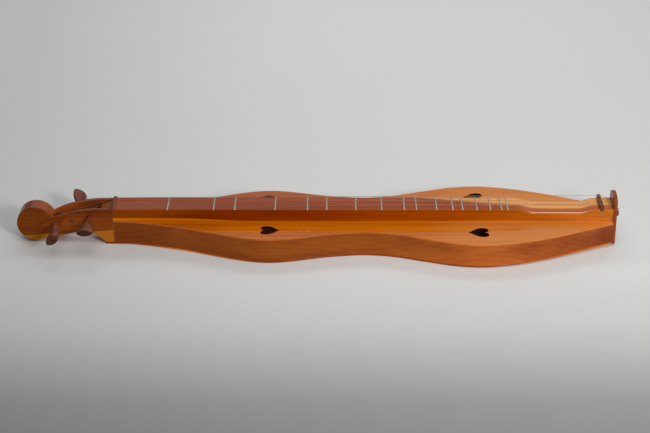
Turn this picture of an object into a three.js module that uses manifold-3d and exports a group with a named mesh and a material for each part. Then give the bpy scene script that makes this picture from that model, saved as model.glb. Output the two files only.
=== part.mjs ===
// A fretted dulcimer: an hourglass sound box with a long raised fretboard, a pegbox with three
// tuning pegs and three strings. Millimetres, +Z up. X runs along the strings from the pegbox to the
// tail, and Y from the front side to the rear side. The origin is on the underside of the back, on
// the centre line, half way along the open strings.
import * as THREE from "three";
import { mergeVertices } from "three/addons/utils/BufferGeometryUtils.js";
import Module from "manifold-3d";

const wasm = await Module();
wasm.setup();

// ---- Driving dimensions ----

const scaleLength = 711;
const glueGap = 0.3; // between faces that are glued, where they aren't flat and level
const front = -1;
const rear = 1;

// Sound box. Half widths are listed as [distance from the nut, half width].
const outlinePoints = [
  [-2, 19.3],
  [25, 20.8],
  [60, 28.3],
  [110, 42.3],
  [160, 60.3],
  [200, 72.2],
  [230, 75.6],
  [262, 71.5],
  [310, 60.2],
  [364, 53.4],
  [410, 58.4],
  [455, 72.3],
  [500, 85.4],
  [542, 89.8],
  [590, 82.5],
  [640, 66.9],
  [690, 46],
  [733.4, 26.9],
];
const outlineSteps = 52;
const reach = 120; // of a cutting block, past everything in the box
const boxStart = -2;
const boxEnd = 733.4;
const boxHeight = 39.2; // top of the soundboard above the underside of the back
const boardThickness = 3;
const sideThickness = 2.6;
const liningWidth = 5;
const liningHeight = 6;
const liningSpan = [32, 698];
const tailRise = 4.4; // the back lifts by this much at the tail
const tailRiseStart = 440;
const tailRisePower = 1.4;
const tailRiseSteps = 10;
const soundboardUnderside = boxHeight - boardThickness;

// Braces across the box: distance from the nut, width along the strings, height.
const backBraces = [
  ["upper", 205],
  ["middle", 364],
  ["lower", 520],
];
const topBraces = [
  ["upper", 175],
  ["lower", 600],
];
const braceWidth = 8;
const braceHeight = 9;

// Heart sound holes: distance of the centre from the nut, and from the centre line. size scales the outline.
const heartLength = 27;
const heartWidth = 25;
const hearts = [
  { centre: 230.3, offset: 47.5, size: 1, pointsToTail: true },
  { centre: 533.2, offset: 54, size: 1.07, pointsToTail: false },
];

// Fretboard
const boardHalfWidth = 19.3;
const boardTop = 57.5;
const channelHalfWidth = 10;
const channelHeight = 8;
const channelSpan = [30, 688];
const hollowFloor = 52;
const hollow = { start: 595, floorStart: 613, floorEnd: 690.5, end: 705 };
const rampSteps = 6;

// Frets of a diatonic scale. Each number is a note's pitch over the open string's.
const fretRatios = [
  9 / 8, 1.26, 4 / 3, 3 / 2, 5 / 3, 1.785, 2, 2.238, 5 / 2, 8 / 3, 3, 10 / 3, 3.575, 4, 9 / 2, 5.02, 5.36,
];
const fretCrownWidth = 2.4;
const fretCrownHeight = 1.1;
const fretTangWidth = 0.7;
const fretTangDepth = 1.8;
const fretSlotWidth = 0.9;
const fretSlotDepth = 2;

// Nut and bridge
const nut = { start: -4, end: 2.3, foot: 52.8, top: 60 };
const bridge = { start: 713.5, end: 719.1, foot: 54.8, top: 63.7 };
const crownDrop = 0.6; // how far a crown falls away at its edges, over half its width
const slotClearance = 0.15;

// Head block: pegbox, carved round end and heel
const headEnd = -2.3;
const roundEnd = { x: -117.6, z: 30.1, radius: 27.3 };
const heelStart = -14;
const heelHalfWidth = 18.9;
const tongueEnd = 27;
const headUnderside = [
  [-106, 5.2],
  [-94, 7.8],
  [-83, 11.3],
  [-70, 15.8],
  [-57, 19.3],
  [-45, 20.6],
  [-34, 19.2],
  [-26, 13.8],
  [-20, 8.2],
  [heelStart, boardThickness],
];
const headTop = [
  [headEnd, boardTop],
  [-24, boardTop],
  [-36, 56.4],
  [-48, 54.7],
  [-60, 52],
  [-72, 48.6],
  [-84, 44.7],
  [-93, 41.4],
];
const headPlan = [
  [headEnd, 19.3],
  [-40, 18.9],
  [-70, 18.2],
  [-80, 16.8],
  [-88, 14.5],
  [-96, 12.9],
  [-146, 12.9],
];
const pegboxFloor = [
  [-4.6, boardTop + 1],
  [-4.6, 56.6],
  [-21, 51.6],
  [-24.5, 39],
  [-33, 29],
  [-86.5, 21.5],
  [-91.5, 23],
  [-92.5, boardTop + 1],
];
const pegboxPlan = [
  [-4, 13.8],
  [-30, 11.8],
  [-93.5, 9.5],
];

// Tuning pegs. side is the side of the knob, knobRoll turns its broad face about the peg's axis,
// and pegTip and windingCentre are measured along the peg from the centre line.
const pegs = [
  { string: "melody", x: -36.8, z: 43.6, side: front, knobEnd: 66, knobWidth: 25.4, knobThickness: 11.4 },
  { string: "middle", x: -61.5, z: 38, side: rear, knobEnd: 70.5, knobWidth: 23.6, knobThickness: 11.4 },
  { string: "bass", x: -84.4, z: 33.5, side: front, knobEnd: 69.5, knobWidth: 22.4, knobThickness: 13.6 },
];
const knobRoll = { melody: 5, middle: 142, bass: 38 };
const pegTip = { melody: 19.4, middle: 19.2, bass: 17.4 };
const windingCentre = { melody: -7.2, middle: 0, bass: 5 };
const pegKnobRadius = 4.1;
const pegTipRadius = 3.3;
const pegClearance = 0.35;
const knobLength = 40;
const knobNeckLap = 20; // the round neck runs this far into the knob
// Half of the knob's outline, as [half width, distance from its narrow end].
const knobProfile = [
  [0, 0],
  [3.8, 0.5],
  [4.1, 8],
  [4.7, 11.5],
  [6.6, 14.5],
  [9.4, 18.5],
  [11.4, 25],
  [12.7, 33],
  [12.3, 37],
  [10.8, 39.2],
  [8.5, 40],
  [0, 40],
];
const windingRadius = 4.95;
const windingWidth = 8;
const windingClearance = 0.3;

// Strings, each named by the peg that it runs to
const stringSpacing = 13.5;
const stringRadius = { melody: 0.24, middle: 0.26, bass: 0.34 };
const stringSides = 8;
const stringDrop = 0.6; // of a string, from the top of the nut or bridge to its outer edge

// Tail plate, hitch pins and end button. The plate narrows upwards to a shoulder, then arches.
const plate = { start: 733.7, end: 738.7, bottom: 3.8, bottomHalfWidth: 25.5 };
const plateTop = { shoulder: 69.6, shoulderHalfWidth: 19.3, crown: 76.8 };
const tailBlockStart = 706;
const stringHole = { innerZ: 58.7, outerZ: 57.4, radius: 1.2 };
const pin = { z: 55.2, radius: 1.3, headRadius: 2.2, headLength: 1.1, length: 3.2, depth: 3.5 };
const button = { z: 41.7, radius: 4.6, neckRadius: 2.7, height: 6.8, spigotRadius: 2.5, spigotLength: 4.4 };

const colours = {
  head: 0x7a3d1c,
  fretboard: 0x84492f,
  soundboard: 0xb06a2b,
  side: 0x8f4c22,
  back: 0xa55a28,
  spruce: 0xd2b184,
  darkWood: 0x5a3226,
  nickel: 0xb4aca0,
  steel: 0xc8c8c8,
  brass: 0xc9a24a,
};

// ---- Helpers ----

// X of a place given as its distance from the nut.
function along(fromNut) {
  return fromNut - scaleLength / 2;
}

// A closed three.js geometry as a solid for joining and cutting.
function solid(geometry) {
  const bare = new THREE.BufferGeometry();
  bare.setAttribute("position", geometry.getAttribute("position"));
  bare.setIndex(geometry.index);
  const merged = mergeVertices(bare, 1e-4);
  const vertProperties = new Float32Array(merged.attributes.position.array);
  const triVerts = new Uint32Array(merged.index.array);
  return new wasm.Manifold(new wasm.Mesh({ numProp: 3, vertProperties, triVerts }));
}

// A mesh with flat facets from a solid.
function piece(name, shape, color, roughness = 0.35, metalness = 0) {
  const { vertProperties, triVerts } = shape.getMesh();
  const indexed = new THREE.BufferGeometry();
  indexed.setAttribute("position", new THREE.BufferAttribute(vertProperties, 3));
  indexed.setIndex(new THREE.BufferAttribute(triVerts, 1));
  const geometry = indexed.toNonIndexed();
  geometry.computeVertexNormals();
  const mesh = new THREE.Mesh(geometry, new THREE.MeshStandardMaterial({ color, roughness, metalness }));
  mesh.name = name;
  return mesh;
}

function flatShape(points) {
  return new THREE.Shape(points.map(([x, y]) => new THREE.Vector2(x, y)));
}

// A plan outline, as [x, y] points, raised from z = low to z = high.
function raised(points, low, high) {
  const geometry = new THREE.ExtrudeGeometry(flatShape(points), { depth: high - low, bevelEnabled: false });
  return solid(geometry.translate(0, 0, low));
}

// A side view, as [x, z] points, carried across from y = low to y = high.
function across(points, low, high) {
  const geometry = new THREE.ExtrudeGeometry(flatShape(points), { depth: high - low, bevelEnabled: false });
  return solid(geometry.rotateX(Math.PI / 2).translate(0, high, 0));
}

function box(x0, x1, y0, y1, z0, z1) {
  const geometry = new THREE.BoxGeometry(x1 - x0, y1 - y0, z1 - z0);
  return solid(geometry.translate((x0 + x1) / 2, (y0 + y1) / 2, (z0 + z1) / 2));
}

// A round bar along Y from y = low to y = high, with a radius at each end.
function barAcross(x, z, low, high, radiusLow, radiusHigh, sides = 24) {
  const geometry = new THREE.CylinderGeometry(radiusHigh, radiusLow, high - low, sides);
  return solid(geometry.translate(x, (low + high) / 2, z));
}

// A turned shape about a line along X: profile points are [distance along X, radius].
function turnedAlongX(profile, x, y, z, sides = 16) {
  const points = profile.map(([distance, radius]) => new THREE.Vector2(radius, distance));
  const geometry = new THREE.LatheGeometry(points, sides);
  return solid(geometry.rotateZ(-Math.PI / 2).translate(x, y, z));
}

function smoothCurve(points, steps) {
  const curve = new THREE.SplineCurve(points.map(([x, y]) => new THREE.Vector2(x, y)));
  return curve.getPoints(steps).map((p) => [p.x, p.y]);
}

// ---- Sound box ----

// Half the outline, moved inwards by an inset: points run from the head to the tail.
function halfOutline(inset) {
  const curve = new THREE.SplineCurve(outlinePoints.map(([x, y]) => new THREE.Vector2(along(x), y)));
  return Array.from({ length: outlineSteps + 1 }, (_, i) => {
    const point = curve.getPoint(i / outlineSteps);
    const tangent = curve.getTangent(i / outlineSteps);
    return [point.x + inset * tangent.y, point.y - inset * tangent.x];
  });
}

function onSide(points, side) {
  return points.map(([x, y]) => [x, side * y]);
}

// The whole outline as a closed plan, moved inwards by an inset.
function wholeOutline(inset) {
  const half = halfOutline(inset);
  return [...onSide(half, front), ...onSide(half, rear).reverse()];
}

// How far the underside of the back is above the level it rests on.
function backRise(fromNut) {
  const t = Math.max(0, (fromNut - tailRiseStart) / (boxEnd - tailRiseStart));
  return tailRise * t ** tailRisePower;
}

// Everything above a line that follows the back at a height, up to z = high.
function aboveBack(height, high) {
  const stations = [heelStart - 10, tailRiseStart];
  for (let i = 1; i <= tailRiseSteps; i += 1) {
    stations.push(tailRiseStart + (i * (boxEnd - tailRiseStart)) / tailRiseSteps);
  }
  const floor = stations.map((x) => [along(x), height + backRise(x)]);
  const [firstX] = floor[0];
  const [lastX] = floor[floor.length - 1];
  return across([...floor, [lastX, high], [firstX, high]], -reach, reach);
}

const aboveBackBoard = aboveBack(boardThickness + glueGap, soundboardUnderside);

function insideLength(from, to) {
  return box(along(from), along(to), -reach, reach, -10, reach);
}

function backBoard() {
  const heel = box(along(heelStart), along(boxStart + 1), -heelHalfWidth, heelHalfWidth, 0, boardThickness);
  const plan = raised(wholeOutline(0), 0, boxHeight).intersect(insideLength(boxStart, boxEnd));
  const sheet = aboveBack(0, boxHeight).subtract(aboveBack(boardThickness, boxHeight + 1));
  return plan.intersect(sheet).add(heel);
}

// A strip that follows the outline between two insets, such as a side or a lining.
function strip(side, outerInset, innerInset, from, to, low, high) {
  const outer = onSide(halfOutline(outerInset), side);
  const inner = onSide(halfOutline(innerInset), side);
  return raised([...outer, ...inner.reverse()], low, high).intersect(insideLength(from, to));
}

function side(which) {
  return strip(which, 0, sideThickness, boxStart, boxEnd, 0, soundboardUnderside).intersect(aboveBackBoard);
}

function topLining(which) {
  const inset = sideThickness + glueGap;
  const low = soundboardUnderside - liningHeight;
  return strip(which, inset, inset + liningWidth, ...liningSpan, low, soundboardUnderside);
}

function backLining(which) {
  const inset = sideThickness + glueGap;
  const whole = strip(which, inset, inset + liningWidth, ...liningSpan, 0, soundboardUnderside);
  const above = aboveBack(boardThickness + glueGap + liningHeight, boxHeight);
  return whole.intersect(aboveBackBoard).subtract(above);
}

// A heart in plan with its point at +X, as a closed list of [x, y].
function heartOutline() {
  const lobe = heartWidth / 4;
  const shape = new THREE.Shape();
  const notch = -heartLength * 0.33;
  const crown = -heartLength * 0.46;
  const tip = heartLength * 0.52;
  shape.moveTo(notch, 0);
  shape.bezierCurveTo(crown - 3, 1, crown - 4.5, lobe * 2.1, notch + 4, lobe * 2);
  shape.bezierCurveTo(notch + 12, lobe * 1.95, tip - 6.5, lobe * 0.7, tip, 0);
  shape.bezierCurveTo(tip - 6.5, -lobe * 0.7, notch + 12, -lobe * 1.95, notch + 4, -lobe * 2);
  shape.bezierCurveTo(crown - 4.5, -lobe * 2.1, crown - 3, -1, notch, 0);
  return shape.getPoints(7).slice(0, -1).map((p) => [p.x, p.y]);
}

function soundboard(which) {
  const half = onSide(halfOutline(0), which);
  const joint = (which * glueGap) / 2;
  const plan = [...half, [half[half.length - 1][0], joint], [half[0][0], joint]];
  let board = raised(plan, soundboardUnderside, boxHeight).intersect(insideLength(boxStart, boxEnd));
  for (const { centre, offset, size, pointsToTail } of hearts) {
    const turn = pointsToTail ? size : -size;
    const outline = heartOutline().map(([x, y]) => [along(centre) + turn * x, which * offset + turn * y]);
    board = board.subtract(raised(outline, soundboardUnderside - 1, boxHeight + 1));
  }
  return board;
}

function brace(fromNut, low, high) {
  const inset = sideThickness + 2 * glueGap + liningWidth;
  const slice = insideLength(fromNut - braceWidth / 2, fromNut + braceWidth / 2);
  return raised(wholeOutline(inset), low, high).intersect(slice);
}

function backBrace(fromNut) {
  const low = boardThickness + glueGap;
  const above = aboveBack(low + braceHeight, boxHeight);
  return brace(fromNut, 0, soundboardUnderside).intersect(aboveBackBoard).subtract(above);
}

function topBrace(fromNut) {
  return brace(fromNut, soundboardUnderside - braceHeight, soundboardUnderside);
}

function tailBlock() {
  const plan = raised(wholeOutline(sideThickness + glueGap), 0, soundboardUnderside);
  return plan.intersect(insideLength(tailBlockStart, boxEnd)).intersect(aboveBackBoard);
}

// ---- Fretboard ----

function fretDistance(ratio) {
  return scaleLength * (1 - 1 / ratio);
}

// A smooth ramp of the strum hollow between two places.
function ramp(from, to, zFrom, zTo) {
  return Array.from({ length: rampSteps + 1 }, (_, i) => {
    const t = i / rampSteps;
    const eased = (1 - Math.cos(Math.PI * t)) / 2;
    return [along(from + (to - from) * t), zFrom + (zTo - zFrom) * eased];
  });
}

function fretboard() {
  const start = along(boxStart);
  const end = along(boxEnd);
  const profile = [
    [start, boxHeight],
    [end, boxHeight],
    [end, boardTop],
    ...ramp(hollow.end, hollow.floorEnd, boardTop, hollowFloor),
    ...ramp(hollow.floorStart, hollow.start, hollowFloor, boardTop),
    [start, boardTop],
  ];
  let bar = across(profile, -boardHalfWidth, boardHalfWidth);
  const [channelStart, channelEnd] = channelSpan.map(along);
  const channelTop = boxHeight + channelHeight;
  bar = bar.subtract(box(channelStart, channelEnd, -channelHalfWidth, channelHalfWidth, 30, channelTop));
  for (const ratio of fretRatios) {
    const x = along(fretDistance(ratio));
    const half = fretSlotWidth / 2;
    bar = bar.subtract(box(x - half, x + half, -30, 30, boardTop - fretSlotDepth, boardTop + 1));
  }
  return bar.subtract(crossSlot(nut)).subtract(crossSlot(bridge));
}

// The slot that a nut or bridge stands in.
function crossSlot({ start, end, foot }) {
  return box(along(start) - slotClearance, along(end) + slotClearance, -40, 40, foot, 90);
}

function fret(ratio) {
  const x = along(fretDistance(ratio));
  const half = fretCrownWidth / 2;
  const tang = fretTangWidth / 2;
  const profile = [
    [x - tang, boardTop - fretTangDepth],
    [x + tang, boardTop - fretTangDepth],
    [x + tang, boardTop],
    [x + half, boardTop],
    [x + half * 0.75, boardTop + fretCrownHeight * 0.66],
    [x + half * 0.3, boardTop + fretCrownHeight],
    [x - half * 0.3, boardTop + fretCrownHeight],
    [x - half * 0.75, boardTop + fretCrownHeight * 0.66],
    [x - half, boardTop],
    [x - tang, boardTop],
  ];
  return across(profile, -boardHalfWidth, boardHalfWidth);
}

// A nut or bridge: an upright strip with a rounded top.
function uprightStrip({ start, end, foot, top }) {
  const middle = along((start + end) / 2);
  const half = (end - start) / 2;
  const roundSteps = 8;
  const crown = Array.from({ length: roundSteps + 1 }, (_, i) => {
    const angle = (Math.PI * i) / roundSteps;
    return [middle + half * Math.cos(angle), top - half * crownDrop * (1 - Math.sin(angle))];
  });
  return across([[middle - half, foot], [middle + half, foot], ...crown], -boardHalfWidth, boardHalfWidth);
}

// ---- Head block ----

function headSideView() {
  const arcSteps = 30;
  const startAngle = Math.PI * 0.135;
  const endAngle = Math.PI * 1.64;
  const arc = Array.from({ length: arcSteps + 1 }, (_, i) => {
    const angle = startAngle + ((endAngle - startAngle) * i) / arcSteps;
    const x = roundEnd.x + roundEnd.radius * Math.cos(angle);
    return [x, roundEnd.z + roundEnd.radius * Math.sin(angle)];
  });
  const profile = [...headTop.slice(0, -1), ...arc, ...smoothCurve(headUnderside.slice(1), 18)];
  return [...profile, [headEnd, boardThickness]].map(([x, z]) => [along(x), z]);
}

// A closed plan from half widths given along the head.
function planFrom(halfWidths) {
  const half = halfWidths.map(([x, y]) => [along(x), y]);
  return [...onSide(half, front), ...onSide(half, rear).reverse()];
}

function headBlock() {
  const body = across(headSideView(), -30, 30).intersect(raised(planFrom(headPlan), -5, 80));
  const slotView = pegboxFloor.map(([x, z]) => [along(x), z]);
  const slot = across(slotView, -30, 30).intersect(raised(planFrom(pegboxPlan), 0, 90));
  const tongueSlice = insideLength(headEnd - 1, tongueEnd);
  const tonguePlan = [
    [headEnd - 1, 16.3],
    [boxStart, 16.3],
    [tongueEnd, 17.4],
  ];
  const tongue = raised(planFrom(tonguePlan), boardThickness + glueGap, soundboardUnderside);
  let block = body.subtract(slot).add(tongue.intersect(tongueSlice)).subtract(crossSlot(nut));
  for (const { x, z, side: knobSide } of pegs) {
    const radii = pegRadii(knobSide, pegClearance);
    block = block.subtract(barAcross(along(x), z, -24, 24, radii.front, radii.rear));
  }
  return block;
}

// ---- Pegs and strings ----

// A peg's radius at the front and rear cheek: it tapers away from its knob.
function pegRadii(knobSide, extra) {
  const knob = pegKnobRadius + extra;
  const tip = pegTipRadius + extra;
  return knobSide === front ? { front: knob, rear: tip } : { front: tip, rear: knob };
}

// A peg about the Y axis through the origin, its knob at the side of the case.
function pegShape({ string, side: knobSide, knobEnd, knobWidth, knobThickness }) {
  const neck = knobEnd - knobLength + knobNeckLap;
  const radii = pegRadii(knobSide, 0);
  const straight = barAcross(0, 0, -24, 24, radii.front, radii.rear);
  const tip = pegTip[string];
  const [low, high] = knobSide === front ? [-24, tip] : [-tip, 24];
  const shaft = straight.intersect(box(-10, 10, low, high, -10, 10));
  const neckLow = knobSide === front ? -neck : 20;
  const neckHigh = knobSide === front ? -20 : neck;
  const neckBar = barAcross(0, 0, neckLow, neckHigh, radii.front, radii.rear);
  const profile = knobProfile.map(([radius, distance]) => new THREE.Vector2(radius, distance - knobLength));
  const widest = Math.max(...knobProfile.map(([radius]) => radius));
  const flare = new THREE.LatheGeometry(profile, 20);
  flare.scale(knobWidth / 2 / widest, 1, knobThickness / 2 / widest);
  flare.translate(0, knobEnd, 0);
  if (knobSide === front) {
    flare.rotateX(Math.PI);
  }
  flare.rotateY((-knobRoll[string] * Math.PI) / 180);
  return shaft.add(neckBar).add(solid(flare));
}

// The turns of a string round its peg, as one plain ring.
function windingShape({ string }) {
  const low = windingCentre[string] - windingWidth / 2;
  const high = windingCentre[string] + windingWidth / 2;
  const inner = pegKnobRadius + windingClearance;
  const outline = [
    [inner, low],
    [windingRadius, low],
    [windingRadius, high],
    [inner, high],
    [inner, low],
  ];
  return solid(new THREE.LatheGeometry(outline.map(([r, y]) => new THREE.Vector2(r, y)), 20));
}

// A line of straight stretches, with one extrusion step for each stretch.
class Route extends THREE.Curve {
  constructor(points) {
    super();
    this.points = points.map((p) => new THREE.Vector3(...p));
  }
  getPoint(t, target = new THREE.Vector3()) {
    const place = t * (this.points.length - 1);
    const index = Math.min(Math.floor(place), this.points.length - 2);
    return target.lerpVectors(this.points[index], this.points[index + 1], place - index);
  }
  getPointAt(u, target) {
    return this.getPoint(u, target);
  }
  getTangentAt(u) {
    const index = Math.round(u * (this.points.length - 1));
    const before = this.points[Math.max(index - 1, 0)];
    const after = this.points[Math.min(index + 1, this.points.length - 1)];
    return after.clone().sub(before).normalize();
  }
}

// A string from the top of its winding over the nut and bridge and out through the tail plate.
function stringShape(peg, index) {
  const radius = stringRadius[peg.string];
  const y = (index - 1) * stringSpacing;
  const lift = radius + 0.02;
  const windingTop = peg.z + windingRadius + radius + glueGap;
  const pinRest = plate.end + pin.length - pin.headLength - slotClearance;
  const points = [
    [along(peg.x), windingCentre[peg.string], windingTop],
    [along(nut.start), y, nut.top + lift - stringDrop],
    [along((nut.start + nut.end) / 2), y, nut.top + lift],
    [along(nut.end), y, nut.top + lift],
    [along((bridge.start + bridge.end) / 2), y, bridge.top + lift],
    [along(bridge.end), y, bridge.top + lift - stringDrop],
    [along(plate.start), y, stringHole.innerZ],
    [along(plate.end), y, stringHole.outerZ],
    [along(pinRest), y, pin.z + pin.radius + lift],
  ];
  const section = new THREE.Shape().absarc(0, 0, radius, 0, 2 * Math.PI);
  const extrudePath = new Route(points);
  const options = { extrudePath, steps: points.length - 1, curveSegments: stringSides / 2 };
  return solid(new THREE.ExtrudeGeometry(section, options));
}

// ---- Tail ----

function tailPlate() {
  const { shoulder, shoulderHalfWidth } = plateTop;
  const crownSteps = 10;
  const crown = Array.from({ length: crownSteps + 1 }, (_, i) => {
    const t = (2 * i) / crownSteps - 1;
    return [-t * shoulderHalfWidth, shoulder + (plateTop.crown - shoulder) * (1 - t * t)];
  });
  const foot = plate.bottomHalfWidth;
  const face = [[-foot, plate.bottom], [foot, plate.bottom], ...crown];
  const thickness = plate.end - plate.start;
  const upright = new THREE.ExtrudeGeometry(flatShape(face), { depth: thickness, bevelEnabled: false });
  upright.rotateX(Math.PI / 2).rotateZ(Math.PI / 2).translate(along(plate.start), 0, 0);
  let board = solid(upright).subtract(spigotHole());
  for (const y of [-stringSpacing, 0, stringSpacing]) {
    board = board.subtract(stringHoleCut(y)).subtract(pinHoleCut(y));
  }
  return board;
}

// A blind hole in the outer face of the tail plate for the end button.
function spigotHole() {
  const radius = button.spigotRadius + slotClearance;
  const profile = [
    [-button.spigotLength - slotClearance, 0],
    [-button.spigotLength - slotClearance, radius],
    [5, radius],
    [5, 0],
  ];
  return turnedAlongX(profile, along(plate.end), 0, button.z);
}

function stringHoleCut(y) {
  const profile = [
    [-10, 0],
    [-10, stringHole.radius],
    [10, stringHole.radius],
    [10, 0],
  ];
  const z = (stringHole.innerZ + stringHole.outerZ) / 2;
  return turnedAlongX(profile, along((plate.start + plate.end) / 2), y, z, 12);
}

function pinHoleCut(y) {
  const radius = pin.radius + slotClearance;
  const profile = [
    [-pin.depth - slotClearance, 0],
    [-pin.depth - slotClearance, radius],
    [5, radius],
    [5, 0],
  ];
  return turnedAlongX(profile, along(plate.end), y, pin.z, 12);
}

function hitchPin(y) {
  const headStart = pin.length - pin.headLength;
  const profile = [
    [-pin.depth, 0],
    [-pin.depth, pin.radius],
    [headStart, pin.radius],
    [headStart, pin.headRadius],
    [pin.length - 0.4, pin.headRadius],
    [pin.length, pin.radius],
    [pin.length, 0],
  ];
  return turnedAlongX(profile, along(plate.end), y, pin.z, 12);
}

function endButton() {
  const profile = [
    [-button.spigotLength, 0],
    [-button.spigotLength, button.spigotRadius],
    [glueGap, button.spigotRadius],
    [glueGap, button.neckRadius + 1],
    [2.2, button.neckRadius],
    [3.3, button.radius],
    [5.1, button.radius],
    [6.3, button.radius * 0.66],
    [button.height, 0],
  ];
  return turnedAlongX(profile, along(plate.end), 0, button.z);
}

// ---- Assembly ----

const group = new THREE.Group();

group.add(piece("head_block", headBlock(), colours.head));
group.add(piece("fretboard", fretboard(), colours.fretboard));
group.add(piece("nut", uprightStrip(nut), colours.darkWood));
group.add(piece("bridge", uprightStrip(bridge), colours.darkWood));
group.add(piece("back_board", backBoard(), colours.back));

for (const [name, which] of [["front", front], ["rear", rear]]) {
  group.add(piece(`soundboard_${name}`, soundboard(which), colours.soundboard));
  group.add(piece(`side_${name}`, side(which), colours.side));
  group.add(piece(`top_lining_${name}`, topLining(which), colours.spruce, 0.7));
  group.add(piece(`back_lining_${name}`, backLining(which), colours.spruce, 0.7));
}
for (const [name, fromNut] of backBraces) {
  group.add(piece(`back_brace_${name}`, backBrace(fromNut), colours.spruce, 0.7));
}
for (const [name, fromNut] of topBraces) {
  group.add(piece(`top_brace_${name}`, topBrace(fromNut), colours.spruce, 0.7));
}
group.add(piece("tail_block", tailBlock(), colours.spruce, 0.7));
group.add(piece("tail_plate", tailPlate(), colours.head));
group.add(piece("end_button", endButton(), colours.darkWood));

fretRatios.forEach((ratio, i) => {
  const name = `fret_${String(i + 1).padStart(2, "0")}`;
  group.add(piece(name, fret(ratio), colours.nickel, 0.3, 1));
});

pegs.forEach((peg, i) => {
  const pegGroup = new THREE.Group();
  pegGroup.position.set(along(peg.x), 0, peg.z);
  pegGroup.add(piece(`peg_${peg.string}`, pegShape(peg), colours.darkWood));
  pegGroup.add(piece(`winding_${peg.string}`, windingShape(peg), colours.steel, 0.3, 1));
  group.add(pegGroup);
  group.add(piece(`string_${peg.string}`, stringShape(peg, i), colours.steel, 0.25, 1));
  group.add(piece(`hitch_pin_${peg.string}`, hitchPin((i - 1) * stringSpacing), colours.brass, 0.3, 1));
});

export default group;
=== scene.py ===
import math

import bmesh
import bpy
import numpy as np
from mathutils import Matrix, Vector
from mathutils.geometry import tessellate_polygon

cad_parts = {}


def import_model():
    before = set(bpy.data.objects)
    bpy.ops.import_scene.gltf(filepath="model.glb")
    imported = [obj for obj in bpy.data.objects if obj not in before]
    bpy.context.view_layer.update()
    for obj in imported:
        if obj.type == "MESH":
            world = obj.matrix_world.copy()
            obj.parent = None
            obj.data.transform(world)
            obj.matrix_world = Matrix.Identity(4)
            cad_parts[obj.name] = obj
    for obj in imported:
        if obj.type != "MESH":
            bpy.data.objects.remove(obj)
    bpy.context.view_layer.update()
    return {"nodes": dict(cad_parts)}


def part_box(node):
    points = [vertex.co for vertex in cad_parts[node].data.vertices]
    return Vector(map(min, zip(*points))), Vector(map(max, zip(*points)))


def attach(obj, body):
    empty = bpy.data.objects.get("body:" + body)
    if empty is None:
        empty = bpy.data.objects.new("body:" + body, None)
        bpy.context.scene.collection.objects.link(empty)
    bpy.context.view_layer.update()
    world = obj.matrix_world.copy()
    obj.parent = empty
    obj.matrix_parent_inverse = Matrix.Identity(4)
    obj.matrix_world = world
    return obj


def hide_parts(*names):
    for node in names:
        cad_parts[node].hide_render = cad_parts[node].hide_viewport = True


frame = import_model()
NODES = frame["nodes"]

# Pieces are worked out in millimetres: X from the face of the nut, Y from the centre line and Z from the
# underside. world() turns them into the frame's metres.
NUT_FACE = 2.3
START_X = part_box("nut")[1].x * 1000 - NUT_FACE
FRONT, REAR = -1, 1


def high(node, axis):
    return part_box(node)[1][axis] * 1000 - (START_X if axis == 0 else 0)


def low(node, axis):
    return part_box(node)[0][axis] * 1000 - (START_X if axis == 0 else 0)


def middle(node, axis):
    return (low(node, axis) + high(node, axis)) / 2


BOX_START, BOX_END = low("side_front", 0), high("side_front", 0)
BOARD_TOP = high("soundboard_front", 2)
BOARD_LOW = low("soundboard_front", 2)
NECK_TOP = 57.5
NECK_HALF = high("fretboard", 1)
HEAD_END = -NUT_FACE


# ---------------------------------------------------------------- meshes

LATHE_SIDES, STRING_SIDES = 32, 8


def world(points):
    """Points in millimetres as rows in the frame's metres."""
    p = np.array(points, float).reshape(-1, 3)
    p[:, 0] += START_X
    return p / 1000


def make(name, points, faces, sharp=40):
    """A smooth-shaded object, with edges kept sharp above an angle in degrees."""
    mesh = bpy.data.meshes.new(name)
    mesh.from_pydata([tuple(p) for p in world(points)], [], faces)
    mesh.validate()
    mesh.update()
    bm = bmesh.new()
    bm.from_mesh(mesh)
    bmesh.ops.recalc_face_normals(bm, faces=bm.faces)
    bm.to_mesh(mesh)
    bm.free()
    mesh.polygons.foreach_set("use_smooth", [True] * len(mesh.polygons))
    mesh.set_sharp_from_angle(angle=math.radians(sharp))
    obj = bpy.data.objects.new(name, mesh)
    bpy.context.scene.collection.objects.link(obj)
    return obj


def place(obj, material, slot, body, *nodes):
    """Gives a piece its material and its body, and lets it stand for CAD nodes. The slot is not used."""
    obj.data.materials.clear()
    obj.data.materials.append(material)
    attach(obj, body)
    if nodes:
        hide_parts(*nodes)
    return obj


def loft(name, rings, sharp=40):
    """A skin over rings of equal length, closed at both ends."""
    n = len(rings[0])
    points = [p for ring in rings for p in ring]
    faces = []
    for r in range(len(rings) - 1):
        for i in range(n):
            j = (i + 1) % n
            faces.append((r * n + i, r * n + j, (r + 1) * n + j, (r + 1) * n + i))
    faces.append(tuple(range(n)))
    faces.append(tuple(range((len(rings) - 1) * n, len(rings) * n)))
    return make(name, points, faces, sharp)


def tube(name, path, radius):
    """A round wire along a path."""
    p = np.array(path, float)
    tangent = np.gradient(p, axis=0)
    tangent /= np.linalg.norm(tangent, axis=1)[:, None]
    side = np.cross(tangent[0], (0, 0, 1) if abs(tangent[0][2]) < 0.9 else (0, 1, 0))
    rings = []
    for point, along in zip(p, tangent):
        side = side - along * np.dot(side, along)
        side /= np.linalg.norm(side)
        up = np.cross(along, side)
        turns = np.linspace(0, 2 * math.pi, STRING_SIDES, endpoint=False)
        rings.append([point + radius * (math.cos(a) * side + math.sin(a) * up) for a in turns])
    return loft(name, rings, 60)


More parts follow.
